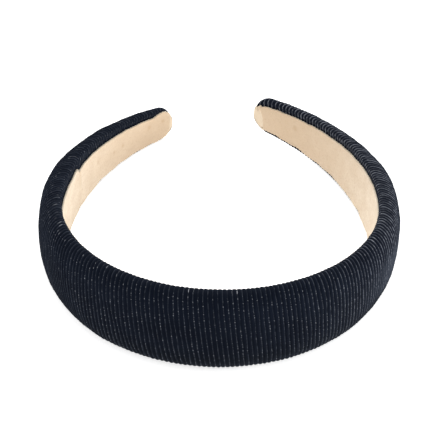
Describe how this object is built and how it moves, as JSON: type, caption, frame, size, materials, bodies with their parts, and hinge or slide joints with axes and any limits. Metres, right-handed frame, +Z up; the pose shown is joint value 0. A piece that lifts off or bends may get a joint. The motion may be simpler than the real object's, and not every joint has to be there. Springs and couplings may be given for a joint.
{
  "type": "padded headband",
  "caption": "Horseshoe-shaped padded headband: springy core, foam pad, ribbed velvet cover, microsuede lining and tip wraps; both arms flex open at the shoulders.",
  "frame": {"origin": "centre of the band's outline on the surface that it lies on", "axes": "+Z up, across the band; +Y from the crown to the tips; +X towards the right arm, seen from the crown side"},
  "size_m": [0.1398, 0.158, 0.0331],
  "materials": {
    "core_plastic": "smooth moulded ABS strip, bent to shape",
    "pad_foam": "soft open-cell foam",
    "cover_velvet": "fine-wale ribbed velvet, ribs across the band, soft sheen at grazing angles",
    "lining_microsuede": "short-nap microsuede, matt, slightly mottled"
  },
  "bodies": {
    "crown": {"spring_core_crown": "core_plastic", "foam_pad_crown": "pad_foam", "ribbed_cover_crown": "cover_velvet", "inner_lining_crown": "lining_microsuede"},
    "left_arm": {"spring_core_left_arm": "core_plastic", "foam_pad_left_arm": "pad_foam", "ribbed_cover_left_arm": "cover_velvet", "inner_lining_left_arm": "lining_microsuede", "left_tip_wrap": "lining_microsuede"},
    "right_arm": {"spring_core_right_arm": "core_plastic", "foam_pad_right_arm": "pad_foam", "ribbed_cover_right_arm": "cover_velvet", "inner_lining_right_arm": "lining_microsuede", "right_tip_wrap": "lining_microsuede"}
  },
  "joints": [
    {"name": "left_arm_flex", "type": "hinge", "parent": "crown", "child": "left_arm", "pos_m": [-0.04468, -0.05437, 0.01557], "axis": [-0.0117, 0.0366, 0.9993], "range_deg": [-6, 20], "stiffness_Nm_per_rad": 0.4},
    {"name": "right_arm_flex", "type": "hinge", "parent": "crown", "child": "right_arm", "pos_m": [0.04346, -0.05434, 0.0166], "axis": [0.0117, -0.0366, -0.9993], "range_deg": [-6, 20], "stiffness_Nm_per_rad": 0.4}
  ]
}
